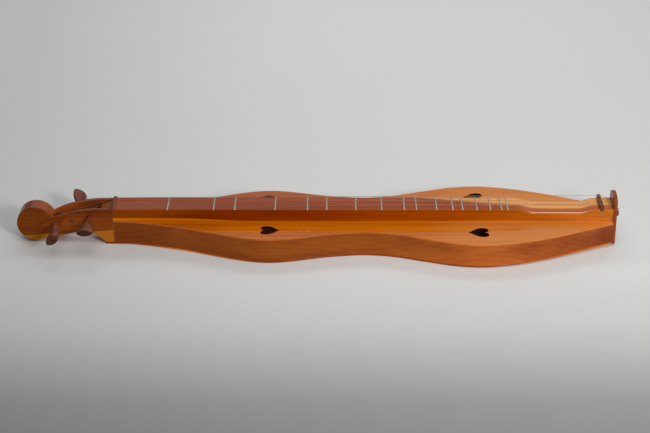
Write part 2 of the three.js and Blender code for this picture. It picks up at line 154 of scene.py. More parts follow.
def lathe(name, profile, place_at):
    """A piece turned about X: profile is [distance along X, radius]."""
    x, y, z = place_at
    turns = [2 * math.pi * i / LATHE_SIDES for i in range(LATHE_SIDES)]
    rings = []
    for distance, radius in profile:
        r = max(radius, 0.02)
        rings.append([(x + distance, y + r * math.cos(a), z + r * math.sin(a)) for a in turns])
    return loft(name, rings)


def catmull(points, count):
    """A smooth curve through the points."""
    p = np.array(points, float)
    t = np.linspace(0, len(p) - 1, count)
    i = np.minimum(t.astype(int), len(p) - 2)
    w = (t - i)[:, None]
    a, b, c, d = p[np.maximum(i - 1, 0)], p[i], p[i + 1], p[np.minimum(i + 2, len(p) - 1)]
    u, v = (c - a) / 2, (d - b) / 2
    return (2 * b - 2 * c + u + v) * w**3 + (-3 * b + 3 * c - 2 * u - v) * w**2 + u * w + b


def offset_loop(loop, distance):
    """A closed plan loop moved to its left by a distance."""
    p = np.array(loop, float)
    ahead, behind = np.roll(p, -1, 0) - p, p - np.roll(p, 1, 0)
    ahead /= np.linalg.norm(ahead, axis=1)[:, None]
    behind /= np.linalg.norm(behind, axis=1)[:, None]
    na, nb = np.stack([-ahead[:, 1], ahead[:, 0]], 1), np.stack([-behind[:, 1], behind[:, 0]], 1)
    mitre = na + nb
    mitre /= np.maximum((mitre * mitre).sum(1) / 2, 0.8)[:, None]
    return p + distance * mitre


def board(name, loops, z0, z1, rounds, to_space=lambda x, y, z: (x, y, z)):
    """A flat board from closed loops, outline anticlockwise and holes clockwise.

    Rounds are the radius of the outline's edges and of the holes' edges.
    """
    points, faces, lids = [], [], ([], [])
    for number, loop in enumerate(loops):
        radius = rounds[0] if number == 0 else rounds[1]
        quarter = np.linspace(math.pi / 2, 0, 5)
        rim = [(radius + 0.35, 0.0)]
        rim += [(radius * (1 - math.cos(a)), radius * (1 - math.sin(a))) for a in quarter]
        section = [(inset, z0 + rise) for inset, rise in rim]
        section += [(inset, z1 - drop) for inset, drop in rim[::-1]]
        n, base = len(loop), len(points)
        for inset, z in section:
            points += [to_space(x, y, z) for x, y in offset_loop(loop, inset)]
        for row in range(len(section) - 1):
            here, above = base + row * n, base + (row + 1) * n
            for i in range(n):
                j = (i + 1) % n
                faces.append((here + i, here + j, above + j, above + i))
        for lid, row in zip(lids, (0, len(section) - 1)):
            lid.append([base + row * n + i for i in range(n)])
    for lid in lids:
        flat = [[Vector(points[i]) for i in ring] for ring in lid]
        index = [i for ring in lid for i in ring]
        faces += [tuple(index[i] for i in tri) for tri in tessellate_polygon(flat)]
    return make(name, points, faces)


# ---------------------------------------------------------------- materials

def metres(place):
    """X in metres of a place along the strings, which is given in millimetres from the nut."""
    return (START_X + place) / 1000


def rgb(colour):
    """An sRGB colour or a grey, 0 to 255, as linear light."""
    parts = [c / 255 for c in (colour if isinstance(colour, tuple) else (colour,) * 3)]
    return tuple(c / 12.92 if c <= 0.04045 else ((c + 0.055) / 1.055) ** 2.4 for c in parts)


def darker(colour, share):
    return tuple(c * share for c in colour)


class Nodes:
    """Short names for building a material's node tree."""

    def __init__(self, name):
        self.material = bpy.data.materials.new(name)
        self.material.use_nodes = True
        self.tree = self.material.node_tree
        self.shader = self.tree.nodes["Principled BSDF"]
        self.place = self.new("ShaderNodeTexCoord").outputs["Object"]

    def new(self, kind, **values):
        node = self.tree.nodes.new(kind)
        for key, value in values.items():
            setattr(node, key, value)
        return node

    def put(self, value, socket):
        if isinstance(value, bpy.types.NodeSocket):
            self.tree.links.new(value, socket)
        elif value is not None:
            socket.default_value = value

    def xyz(self):
        node = self.new("ShaderNodeSeparateXYZ")
        self.put(self.place, node.inputs[0])
        return node.outputs

    def math(self, operation, a, b=None, c=None):
        node = self.new("ShaderNodeMath", operation=operation)
        for value, socket in zip((a, b, c), node.inputs):
            self.put(value, socket)
        return node.outputs[0]

    def times(self, value, *factors):
        for factor in factors:
            value = self.math("MULTIPLY", value, factor)
        return value

    def distance(self, value, centre=0.0):
        return self.math("ABSOLUTE", self.math("SUBTRACT", value, centre))

    def swing(self, noise, amount):
        """A noise that swings about zero instead of one half."""
        return self.times(self.math("SUBTRACT", noise, 0.5), amount)

    def noise(self, scale, detail=3, rough=0.55, shift=(0, 0, 0), distort=0):
        """Scale is in cells per metre, along X, Y and Z."""
        mapping = self.new("ShaderNodeMapping")
        self.put(self.place, mapping.inputs["Vector"])
        mapping.inputs["Scale"].default_value = scale
        mapping.inputs["Location"].default_value = shift
        node = self.new("ShaderNodeTexNoise")
        self.put(mapping.outputs[0], node.inputs["Vector"])
        node.inputs["Scale"].default_value = 1
        node.inputs["Detail"].default_value = detail
        node.inputs["Roughness"].default_value = rough
        node.inputs["Distortion"].default_value = distort
        return node.outputs[0]

    def step(self, value, start, end):
        """0 at start and 1 at end, smoothly, and level beyond them. Start may be the higher one."""
        node = self.new("ShaderNodeMapRange", interpolation_type="SMOOTHSTEP", clamp=True)
        self.put(value, node.inputs["Value"])
        node.inputs["From Min"].default_value = start
        node.inputs["From Max"].default_value = end
        return node.outputs[0]

    def step_mm(self, value, start, end):
        """The same step, with its start and end in millimetres."""
        return self.step(value, start / 1000, end / 1000)

    def along(self, x, start, end):
        """The same step between two places along the strings, in millimetres from the nut."""
        return self.step(x, metres(start), metres(end))

    def ramp(self, factor, *stops):
        node = self.new("ShaderNodeValToRGB")
        self.put(factor, node.inputs[0])
        elements = node.color_ramp.elements
        while len(elements) < len(stops):
            elements.new(0.5)
        for element, (position, colour) in zip(elements, stops):
            element.position = position
            element.color = (*rgb(colour), 1)
        return node.outputs[0]

    def fade(self, x, stops):
        """A gain along the strings: stops are [millimetres from the nut, grey or colour]."""
        start, end = stops[0][0], stops[-1][0]
        node = self.new("ShaderNodeMapRange")
        self.put(x, node.inputs["Value"])
        node.inputs["From Min"].default_value = metres(start)
        node.inputs["From Max"].default_value = metres(end)
        return self.ramp(node.outputs[0], *[((at - start) / (end - start), tone) for at, tone in stops])

    def mix(self, factor, a, b, blend="MIX"):
        node = self.new("ShaderNodeMix", data_type="RGBA", blend_type=blend)
        self.put(factor, node.inputs["Factor"])
        for value, socket in ((a, node.inputs["A"]), (b, node.inputs["B"])):
            self.put((*rgb(value), 1) if isinstance(value, tuple) else value, socket)
        return node.outputs["Result"]

    def shade(self, colour, gain):
        return self.mix(1.0, colour, gain, "MULTIPLY")

    def paint(self, colour, over, mask, strength=1.0):
        """A colour with another laid over it where the mask is 1."""
        return self.mix(self.times(mask, strength), colour, over)

    def finish(self, colour, rough, bump, strength, distance, **constants):
        self.put(colour, self.shader.inputs["Base Color"])
        self.put(rough, self.shader.inputs["Roughness"])
        for key, value in constants.items():
            self.shader.inputs[key.replace("_", " ")].default_value = value
        node = self.new("ShaderNodeBump")
        node.inputs["Strength"].default_value = strength
        node.inputs["Distance"].default_value = distance
        self.put(bump, node.inputs["Height"])
        self.tree.links.new(node.outputs[0], self.shader.inputs["Normal"])
        return self.material


# Noise cells per metre, along the grain and across it.
FIBRES, BROAD, PORES = (9, 900), (3, 26), (60, 1500)
# How far noise bends the growth rings, and the cells of the noises that bend and fade them: per metre along
# the grain, and per ring across it.
RING_BEND, RING_BEND_CELLS, RING_FADE_CELLS = 14, (1.6, 0.42), (1.2, 0.3)
TONE_SHIFT = 0.35
PORE_DARK, SPECK_CELLS, SPECK_DARK = 0.35, (75, 75, 120), 0.35
ROUGH_CELLS, ROUGH_SPREAD = (40, 40, 40), 0.16
COAT_ROUGH = 0.08


def wood(name, dark, mid, light, axis=0, ring=4.0, figure=0.5, gloss=0.22, coat=0.0, seed=0.0, streak=0.35,
         specks=0.0, patch=None, broad=0.5, spec=0.35, tint=(255, 255, 255)):
    """Lacquered wood with its grain along an axis: growth rings, fibres, broad colour change and pores.

    Ring is the rings' spacing in millimetres. Figure, streak and broad are the strengths of the rings, the
    fibres and the broad change. Patch(nodes, colour, fibres, wide) paints what only this piece has.
    """
    n = Nodes(name)
    rings = 1000 / ring

    def grain(small, large):
        return tuple(small if i == axis else large for i in range(3))

    shift = (seed, seed * 0.7, seed * 1.3)
    places = n.xyz()
    first, second = [places[i] for i in range(3) if i != axis]
    distance = n.math("MULTIPLY_ADD", second, 0.85, first)
    wander = n.times(n.noise(grain(RING_BEND_CELLS[0], RING_BEND_CELLS[1] * rings), 3, 0.6, shift), RING_BEND)
    bands = n.math("SINE", n.math("MULTIPLY_ADD", distance, rings * 2 * math.pi, wander))
    cells = grain(RING_FADE_CELLS[0], RING_FADE_CELLS[1] * rings)
    bands = n.times(bands, n.noise(cells, 2, 0.5, (seed + 5, seed, seed)))
    bands = n.math("MULTIPLY_ADD", bands, 0.5, 0.25)
    fibres = n.noise(grain(*FIBRES), 3, 0.6, shift)
    wide = n.noise(grain(*BROAD), 3, 0.55, shift)
    tone = n.math("ADD", n.times(bands, figure), n.swing(fibres, streak))
    tone = n.math("ADD", n.math("ADD", tone, n.swing(wide, broad * 2)), TONE_SHIFT)
    colour = n.ramp(tone, (0.0, dark), (0.5, mid), (1.0, light))
    if patch:
        colour = patch(n, colour, fibres, wide)
    pores = n.step(n.noise(grain(*PORES), 2, 0.5, shift), 0.66, 0.78)
    colour = n.paint(colour, dark, pores, PORE_DARK)
    if specks:
        spot = n.step(n.noise(SPECK_CELLS, 1, 0.4, shift), 0.775, 0.80)
        colour = n.paint(colour, darker(dark, SPECK_DARK), spot, specks)
    rough = n.math("ADD", n.times(n.noise(ROUGH_CELLS), ROUGH_SPREAD), gloss)
    height = n.math("ADD", n.times(fibres, 0.7), n.times(pores, -0.6))
    return n.finish(colour, rough, height, 0.10, 0.00025, Coat_Weight=coat, Coat_Roughness=COAT_ROUGH,
                    IOR=1.5, Specular_IOR_Level=spec, Specular_Tint=(*rgb(tint), 1))


def metal(name, base, rough, scratch=(40, 900, 900), metallic=1.0):
    """Metal with fine scratches, which are longest where their cells per metre are fewest, and tarnish."""
    n = Nodes(name)
    lines = n.noise(scratch, 4, 0.6)
    tarnish = n.noise((90, 90, 90))
    colour = n.paint(base, darker(base, 0.62), tarnish, 0.5)
    value = n.math("ADD", n.times(lines, 0.22), rough)
    return n.finish(colour, value, lines, 0.06, 0.0001, Metallic=metallic)


# ------------------------------------------------ head: sapwood below, lighter inside the pegbox

HEAD_TONE = [(-160, 208), (-112, 208), (-96, 230), (-70, 248), (-40, 226)]
HEAD_INSIDE = (210, 108, 32)
HEAD_SAP = ((160, 90, 14), (196, 122, 34))
SAP_AT, SAP_HEIGHT, SAP_SLOPE = -117, 12.7, 0.094


def head_patch(n, colour, fibres, wide):
    """Pale sapwood along the underside, below a sloping edge, and lighter faces inside the pegbox."""
    x, y, z = n.xyz()
    inside = n.step_mm(n.distance(y), 12.5, 10.0)
    colour = n.paint(colour, HEAD_INSIDE, inside, 0.36)
    edge = n.math("MULTIPLY_ADD", x, SAP_SLOPE, SAP_HEIGHT / 1000 - SAP_SLOPE * metres(SAP_AT))
    edge = n.math("ADD", edge, n.swing(wide, 0.004))
    sap = n.step_mm(n.math("SUBTRACT", edge, z), -0.4, 0.6)
    colour = n.shade(colour, n.fade(x, HEAD_TONE))
    return n.paint(colour, n.mix(fibres, *HEAD_SAP), sap)


# ------------------------------------------------ sides: painted light and shade, slanting figure at the tail

# Painted light and shade along the sides: a gain that darkens the head end and brightens the lower bout,
# which faces the lamps.
SIDE_PAINTED_SHADE = [(-2, (184, 174, 104)), (160, (198, 190, 114)), (250, (210, 206, 144)), (410, (230, 228, 160)),
             (558, 255), (631, 248), (690, (212, 200, 220)), (734, (196, 176, 200))]
SIDE_FIGURE, SIDE_END = (104, 40, 20), (214, 130, 60)


def side_patch(n, colour, fibres, wide):
    """Painted light and shade: darker at the head, brightest at the lower bout, redder at the tail, with
    slanting figure there.
    """
    x, _, _ = n.xyz()
    colour = n.shade(colour, n.fade(x, SIDE_PAINTED_SHADE))
    slant = n.step(n.noise((26, 26, 60), 3, 0.6, (3, 3, 3), 0.8), 0.45, 0.7)
    colour = n.paint(colour, SIDE_FIGURE, n.times(slant, n.along(x, 560, 700)), 0.45)
    return n.paint(colour, SIDE_END, n.along(x, -0.6, -1.4), 0.4)


# ------------------------------------------------ fretboard: heartwood, a wedge of sapwood, worn hollow, painted highlight on its edge

NECK_TONE = [(0, (224, 206, 150)), (150, (230, 210, 150)), (300, (248, 228, 170)), (450, (255, 240, 200))]
NECK_SIDE = [(0, (152, 68, 3)), (130, (148, 62, 2)), (280, (158, 66, 2)), (500, (196, 96, 6)),
             (590, (212, 114, 16)), (734, (214, 126, 44))]
NECK_SAP = ((250, 148, 58), (255, 200, 112))
NECK_SAP_TONE = [(380, (240, 222, 200)), (520, (255, 250, 240)), (560, 255)]
NECK_HOLLOW = ((176, 84, 20), (204, 112, 34))
SAP_BORDER, SAP_MIDDLE, DARK_LINE = (92, 34, 34), (226, 124, 48), (104, 40, 16)
# The first colour is a painted highlight along the hollow's near edge.
HOLLOW_EDGE_HIGHLIGHT, FOOT_STRIP = (255, 214, 204), (206, 116, 6)
WEDGE_REAR, WEDGE_ACROSS = 20.5, 26.5
STRIP_TOP, STRIP_DROP = 43.6, 4.6


def neck_top_colour(n, x, y, colour, fibres, wide):
    """The wedge of sapwood from the rear edge toward the tail, dark lines, the paler, worn hollow and a
    painted highlight on its near edge.
    """
    edge = n.math("ADD", n.times(n.along(x, 385, 660), -WEDGE_ACROSS / 1000), WEDGE_REAR / 1000)
    gap = n.math("SUBTRACT", y, n.math("ADD", edge, n.swing(wide, 0.006)))
    sap = n.step_mm(gap, 0.0, 1.6)
    heart = n.math("SUBTRACT", 1.0, sap)
    colour = n.paint(colour, SAP_BORDER, n.times(n.step_mm(gap, -4.2, -0.6), heart), 0.55)
    colour = n.shade(colour, n.fade(x, NECK_TONE))
    middle = n.times(n.step_mm(gap, -7.5, -2.0), n.along(x, 460, 580))
    colour = n.paint(colour, SAP_MIDDLE, middle, 0.8)
    colour = n.paint(colour, n.shade(n.mix(fibres, *NECK_SAP), n.fade(x, NECK_SAP_TONE)), sap)
    lines = n.step(n.noise((4.5, 330, 40), 2, 0.5, (9, 4, 2)), 0.52, 0.72)
    colour = n.paint(colour, DARK_LINE, lines, 0.6)
    hollow = n.times(n.along(x, 560, 620), heart)
    colour = n.paint(colour, n.mix(fibres, *NECK_HOLLOW), hollow, 0.7)
    # Painted highlight: a pinkish-white line along the hollow's near edge, where the lacquer catches the
    # light.
    edge_glint = n.times(n.along(x, 600, 620), n.along(x, 706, 690), n.step_mm(n.distance(y, -0.0172), 1.1, 0.5))
    return n.paint(colour, HOLLOW_EDGE_HIGHLIGHT, edge_glint, 0.8)


def neck_patch(n, colour, fibres, wide):
    """The top as above, and the front wall, darker than the top and lighter toward the tail, with a strip of
    sapwood along its foot.
    """
    x, y, z = n.xyz()
    colour = neck_top_colour(n, x, y, colour, fibres, wide)
    front = n.step_mm(y, -17.6, -18.8)
    wall = n.shade(n.fade(x, NECK_SIDE), n.ramp(fibres, (0.3, 205), (0.7, 255)))
    wall = n.shade(wall, n.ramp(wide, (0.35, (232, 224, 214)), (0.6, 255)))
    colour = n.paint(colour, wall, front)
    strip = n.math("MULTIPLY_ADD", n.along(x, 80, 210), -STRIP_DROP / 1000, STRIP_TOP / 1000)
    foot = n.times(front, n.step_mm(n.math("SUBTRACT", z, strip), 0.5, -0.3))
    return n.paint(colour, FOOT_STRIP, foot)


# ------------------------------------------------ pegs, nut, bridge and button

# The first colour is a painted highlight round the knobs' rims.
KNOB_RIM_HIGHLIGHT, KNOB_END = (176, 112, 80), ((40, 16, 8), (92, 48, 24))


def dark_patch(n, colour, fibres, wide):
    """The knobs' ends show darker end grain inside a painted highlight round the rim."""
    _, y, _ = n.xyz()
    reach = n.distance(y)
    # Painted highlight: a paler ring round the edge of each knob's end.
    rim = n.times(n.step_mm(reach, 61.8, 63.2), n.step_mm(reach, 65.4, 64.0))
    colour = n.paint(colour, KNOB_RIM_HIGHLIGHT, rim, 0.35)
    return n.paint(colour, n.mix(n.step(wide, 0.42, 0.6), *KNOB_END), n.step_mm(reach, 64.0, 66.2), 0.8)


# ------------------------------------------------ soundboard and back

# Each heart: its centre along the strings, its distance from the centre line, the way its tip points, its
# size, and how far from the centre line its walls carry painted shade.
HEARTS = [
    {"centre": 230.3, "offset": 47.5, "turn": 1, "size": 1.0, "shade_to": 65.5},
    {"centre": 533.2, "offset": 54, "turn": -1, "size": 1.07, "shade_to": 73.5},
]
TOP_TONE = [(0, (240, 228, 200)), (240, (244, 232, 200)), (400, (252, 248, 230)), (520, 255), (734, 252)]
# The second pair of colours is a painted sheen toward the tail: the lamp's reflection in the lacquer.
TOP_EDGE, TOP_TAIL_SHEEN = (150, 64, 4), ((226, 138, 64), (244, 162, 86))
# The last colour is painted shade on the sound holes' walls.
SCUFF, SCUFF_AT, HEART_WALL_SHADE = (250, 206, 150), (274, -46), (34, 14, 6)
# Painted shade along the back's edge: darker under the heel and from the upper bout to the lower.
BACK_SHADE = [(-14, (140, 120, 90)), (30, (190, 170, 150)), (100, 255), (170, (215, 190, 160)),
             (230, (180, 140, 120)), (540, (190, 150, 130)), (600, (225, 200, 170)), (734, 255)]


def top_patch(n, colour, fibres, wide):
    """Paler toward the tail with a painted sheen there, a scuff by the upper heart, darker edges and painted
    shade on the sound hole walls.
    """
    x, y, z = n.xyz()
    below = n.step_mm(z, BOARD_TOP - 0.2, BOARD_TOP - 0.5)
    colour = n.shade(colour, n.fade(x, TOP_TONE))
    colour = n.paint(colour, TOP_EDGE, below, 0.45)
    # Painted sheen: paler toward the tail, where the lacquer reflects the key light.
    colour = n.paint(colour, n.mix(fibres, *TOP_TAIL_SHEEN), n.along(x, 430, 560), 0.42)
    chips = n.step(n.noise((160, 420, 60), 1, 0.4, (2, 7, 1)), 0.66, 0.70)
    near_y = n.step_mm(n.distance(y, SCUFF_AT[1] / 1000), 6, 4)
    near_x = n.step_mm(n.distance(x, metres(SCUFF_AT[0])), 16, 14)
    colour = n.paint(colour, SCUFF, n.times(chips, near_y, near_x), 0.7)
    for spec in HEARTS:
        window = n.step_mm(n.distance(x, metres(spec["centre"])), 18, 17)
        inside = n.step_mm(n.distance(y), spec["shade_to"] + 2.5, spec["shade_to"])
        # Painted shade: the sound holes' walls are made nearly black, as if in the shade inside the box.
        colour = n.paint(colour, HEART_WALL_SHADE, n.times(below, window, inside))
    return colour


def back_patch(n, colour, fibres, wide):
    """Painted shade: darker at the heel, and from the upper bout to the lower one."""
    x, _, _ = n.xyz()
    return n.shade(colour, n.fade(x, BACK_SHADE))


M_SIDE = wood("side_wood", (148, 63, 18), (190, 98, 32), (220, 132, 64), ring=7.0, figure=0.22, seed=1.3,
              specks=0.8, broad=0.8, spec=0.16, patch=side_patch)
M_TOP = wood("soundboard_wood", (164, 74, 4), (222, 121, 8), (246, 158, 36), ring=9.0, figure=0.32,
             seed=4.1, broad=0.7, coat=0.75, spec=0.0, streak=0.5, patch=top_patch)
M_BACK = wood("back_wood", (190, 92, 6), (220, 120, 12), (232, 140, 30), seed=7.7, coat=0.1, spec=0.15,
              patch=back_patch)
M_NECK = wood("fretboard_wood", (130, 48, 8), (174, 78, 14), (200, 104, 28), ring=6.0, seed=2.2,
              streak=0.65, spec=1.0, gloss=0.06, tint=(255, 120, 20), patch=neck_patch)
M_HEAD = wood("head_wood", (96, 36, 10), (140, 65, 17), (172, 90, 28), ring=7.0, figure=0.45, broad=0.8,
              seed=5.9, coat=0.05, spec=1.0, gloss=0.2, tint=(240, 120, 30), patch=head_patch)
M_PLATE = wood("plate_wood", (112, 44, 8), (152, 70, 16), (180, 94, 32), axis=2, ring=5.0, figure=0.3,
               seed=3.4, coat=0.2, spec=0.15)
M_DARK = wood("dark_wood", (78, 32, 16), (116, 54, 30), (144, 76, 48), axis=1, figure=0.7, seed=8.8,
              streak=0.7, gloss=0.3, coat=0.1, spec=0.2, patch=dark_patch)
M_INNER = wood("inner_wood", (170, 130, 84), (206, 170, 120), (224, 194, 148), ring=2.0, seed=6.1,
               gloss=0.55)
M_FRET = metal("fret_metal", (212, 202, 184), 0.3, metallic=0.5)
M_STRING = metal("string_steel", (176, 158, 142), 0.34)
# The turns round the pegs are painted dark: painted shade, as they sit in the pegbox.
M_SHADED_TURNS = metal("shaded_turns_steel", (58, 46, 38), 0.6, metallic=0.6)
M_BRASS = metal("pin_brass", (214, 176, 92), 0.22, (900, 900, 40))

# ---------------------------------------------------------------- sound box

OUTLINE = [
    (-2, 19.3), (25, 20.8), (60, 28.3), (110, 42.3), (160, 60.3), (200, 72.2), (230, 75.6), (262, 71.5),
    (310, 60.2), (364, 53.4), (410, 58.4), (455, 72.3), (500, 85.4), (542, 89.8), (590, 82.5), (640, 66.9),
    (690, 46), (BOX_END, 26.9),
]
RISE_START, RISE, RISE_POWER = 440, 4.4, 1.4
BACK_THICK, BACK_ROUND = 3.0, 0.9
SIDE_THICK = 2.6


def half_outline(inset, count=200):
    """The hourglass on one side, as [x, half width], moved inward by the inset."""
    p = catmull(OUTLINE, count)
    t = np.gradient(p, axis=0)
    t /= np.linalg.norm(t, axis=1)[:, None]
    q = p + inset * np.stack([t[:, 1], -t[:, 0]], 1)
    q[0, 0], q[-1, 0] = p[0, 0], p[-1, 0]
    return q


def back_rise(x):
    """How far the back has lifted from the table at x."""
    return RISE * max(0.0, (x - RISE_START) / (BOX_END - RISE_START)) ** RISE_POWER


def heart(spec, side):
    """A heart's outline in plan, clockwise."""
    size = spec["size"]
    length, lobe = 27, 25 / 4
    notch, crown, tip = -length * 0.33, -length * 0.46, length * 0.52
    curves = [
        ((notch, 0), (crown - 3, 1), (crown - 4.5, lobe * 2.1), (notch + 4, lobe * 2)),
        ((notch + 4, lobe * 2), (notch + 12, lobe * 1.95), (tip - 6.5, lobe * 0.7), (tip, 0)),
    ]
    half = []
    for a, b, c, d in np.array(curves, float):
        for t in np.linspace(0, 1, 22, endpoint=False):
            half.append(a * (1 - t)**3 + 3 * b * t * (1 - t)**2 + 3 * c * t * t * (1 - t) + d * t**3)
    points = half + [np.array([tip, 0.0])] + [h * (1, -1) for h in half[:0:-1]]
    points = [(spec["centre"] + spec["turn"] * size * x, side * spec["offset"] + size * y) for x, y in points]
    area = sum(a[0] * b[1] - b[0] * a[1] for a, b in zip(points, points[1:] + points[:1]))
    return points if area < 0 else points[::-1]


for side, name in ((FRONT, "front"), (REAR, "rear")):
    outer, inner = half_outline(0), half_outline(SIDE_THICK)
    rings = []
    for (x0, y0), (x1, y1) in zip(outer, inner):
        low_z, high_z = BACK_THICK + back_rise(x0), BOARD_LOW
        rings.append([(x0, side * y0, low_z), (x0, side * y0, low_z + 0.4), (x0, side * y0, high_z - 0.4),
                      (x0, side * y0, high_z), (x1, side * y1, high_z), (x1, side * y1, low_z)])
    place(loft("side_wall_" + name, rings), M_SIDE, "side_wood", "instrument", "side_" + name)

    edge = [(x, side * y) for x, y in half_outline(0, 240)]
    loop = edge + [(edge[-1][0], side * 0.1), (edge[0][0], side * 0.1)]
    loop = loop[::-1] if side == REAR else loop
    holes = [heart(spec, side) for spec in HEARTS]
    panel = board("soundboard_panel_" + name, [loop, *holes], BOARD_LOW, BOARD_TOP, (0.5, 0.25))
    place(panel, M_TOP, "soundboard_wood", "instrument", "soundboard_" + name)

# The back runs on under the head's heel before it follows the sides.
rings = []
stations = [(-14, 18.9), (-10, 18.9), (-6, 18.95)] + [tuple(p) for p in half_outline(0, 220)]
for x, half in stations:
    rise, ring = back_rise(x), []
    edge, level = half - BACK_ROUND, BACK_THICK / 2 + rise
    for a in np.linspace(-math.pi / 2, math.pi / 2, 7):
        ring.append((x, edge + BACK_ROUND * math.cos(a), level + BACK_THICK / 2 * math.sin(a)))
    ring += [(x, y, BACK_THICK + rise) for y in np.linspace(half - 2, 2 - half, 7)]
    for a in np.linspace(math.pi / 2, 3 * math.pi / 2, 7):
        ring.append((x, BACK_ROUND * math.cos(a) - edge, level + BACK_THICK / 2 * math.sin(a)))
    ring += [(x, y, rise) for y in np.linspace(2 - half, half - 2, 7)]
    rings.append(ring)
place(loft("back_panel", rings), M_BACK, "back_wood", "instrument", "back_board")

for node, obj in NODES.items():
    if "lining" in node or "brace" in node or node == "tail_block":
        obj.data.materials.clear()
        obj.data.materials.append(M_INNER)

# ---------------------------------------------------------------- fretboard and frets

HOLLOW_FLOOR = 52
RAMPS = ((591, 619), (709, 685))
EDGE_ROUND, HOLLOW_ROUND = 0.9, 1.9
FRETS, FRET_HALF, FRET_CROWN, FRET_SINK = 17, 1.2, 1.1, 0.3
# How far in from each end a fret's crown is, and the share of its height that it has there.
FRET_END = ((0, 0.25), (0.12, 0.62), (0.4, 0.88), (0.9, 1.0))


def neck_top(x):
    """Height of the fretboard's top, which dips into the strum hollow over two ramps."""
    depth = NECK_TOP - HOLLOW_FLOOR
    shares = [min(1, max(0, (x - start) / (end - start))) for start, end in RAMPS]
    return NECK_TOP - depth * min((1 - math.cos(math.pi * s)) / 2 for s in shares)


xs = [BOX_START, BOX_START + 0.4] + list(np.linspace(6, 588, 50)) + list(np.linspace(591, 620, 34))
xs += list(np.linspace(625, 680, 12)) + list(np.linspace(684, 710, 34)) + [715, BOX_END - 0.4, BOX_END]
rings = []
for x in xs:
    top, half = neck_top(x), NECK_HALF
    r = EDGE_ROUND + HOLLOW_ROUND * (NECK_TOP - top) / (NECK_TOP - HOLLOW_FLOOR)
    arc = [(half - r + r * math.cos(a), top - r + r * math.sin(a)) for a in np.linspace(0, math.pi / 2, 6)]
    right = [(half, BOARD_TOP), (half, BOARD_TOP + 0.4), (half, top - r - 0.5)] + arc
    right += [(half - r - 0.5, top), (half / 2, top)]
    ring = right + [(0, top)] + [(-y, z) for y, z in right[::-1]]
    rings.append([(x, y, z) for y, z in ring])
place(loft("neck_board", rings), M_NECK, "fretboard_wood", "instrument", "fretboard")

for i in range(1, FRETS + 1):
    node = "fret_%02d" % i
    x, half = middle(node, 0), NECK_HALF - 0.15
    ends = [(half - inset, share) for inset, share in FRET_END]
    rings = []
    for y, share in [(-y, share) for y, share in ends] + ends[::-1]:
        ring = []
        for a in np.linspace(0, math.pi, 13):
            ring.append((x + FRET_HALF * math.cos(a), y, NECK_TOP + FRET_CROWN * share * math.sin(a)))
        ring += [(x - FRET_HALF, y, NECK_TOP - FRET_SINK), (x + FRET_HALF, y, NECK_TOP - FRET_SINK)]
        rings.append(ring)
    place(loft("fret_wire_%02d" % i, rings), M_FRET, "fret_metal", "instrument", node)

# ---------------------------------------------------------------- nut and bridge

STRING_Y = {"melody": -13.5, "middle": 0.0, "bass": 13.5}
STRING_R = {"melody": 0.24, "middle": 0.26, "bass": 0.34}
SLOT_HALF, SLOT_DEPTH = 0.6, 0.35
END_ROUND = 0.8


def upright(name, node, base):
    """A crowned strip across the fretboard, rounded at both ends, with a slot for each string."""
    x0, x1, top = low(node, 0), high(node, 0), high(node, 2)
    centre, half = (x0 + x1) / 2, (x1 - x0) / 2
    edge = NECK_HALF + 0.35
    ends = [edge - END_ROUND, edge - 0.25, edge]
    steps = [share * SLOT_HALF for share in (-1, -0.5, 0, 0.5, 1)]
    slots = [y + step for y in STRING_Y.values() for step in steps]
    rings = []
    for y in sorted({*[-y for y in ends], *ends, *np.linspace(-17, 17, 18), *slots}):
        end = max(0.0, abs(y) - (edge - END_ROUND)) / END_ROUND
        slot = max(max(0.0, 1 - abs(y - c) / SLOT_HALF) for c in STRING_Y.values()) * SLOT_DEPTH
        pull = 0.5 * end**2
        crown = []
        for a in np.linspace(0, math.pi, 17):
            z = top - half * 0.6 * (1 - math.sin(a)) - pull
            crown.append((centre + (half - pull) * math.cos(a), y, z - slot * math.sin(a)))
        rings.append(crown + [(x0 + pull, y, base), (x1 - pull, y, base)])
    return loft(name, rings)


place(upright("nut_strip", "nut", 53.2), M_DARK, "dark_wood", "instrument", "nut")
place(upright("bridge_strip", "bridge", 55.2), M_DARK, "dark_wood", "instrument", "bridge")

# ---------------------------------------------------------------- head block

# The round end: its centre in X and Z, and its radius.
DISC = (-117.6, 30.1, 27.3)
TOP_LINE = [(6, NECK_TOP), (HEAD_END, NECK_TOP), (-24, NECK_TOP), (-36, 56.4), (-48, 54.7), (-60, 52),
            (-72, 48.6), (-84, 44.7)]
LOW_LINE = [(-94, 7.8), (-83, 11.3), (-70, 15.8), (-57, 19.3), (-45, 20.6), (-34, 19.2), (-26, 13.8),
            (-20, 8.2), (-14, 3)]
PLAN = [(6, 19.3), (HEAD_END, 19.3), (-40, 18.9), (-70, 18.2), (-80, 16.8), (-88, 14.5), (-96, 12.9),
        (-104, 12.9), (-150, 12.9)]
SLOT_FLOOR = [(-4.6, 70), (-4.6, 56.6), (-21, 51.6), (-24.5, 39), (-33, 29), (-86.5, 21.5), (-91.5, 23),
              (-92.5, 70)]
SLOT_PLAN = [(-4, 13.8), (-30, 11.8), (-93.5, 9.5)]
VOXEL = 0.00075
GROOVE = [(-92, 38.5), (-97, 36.5), (-104, 33.5), (-111, 30.4), (-116.5, 26.5)]
GROOVE_WIDTH, GROOVE_DEPTH = (1.9, 0.9), (2.4, 0.3)
GROOVE_LEVEL, GROOVE_FADING = 42, 18


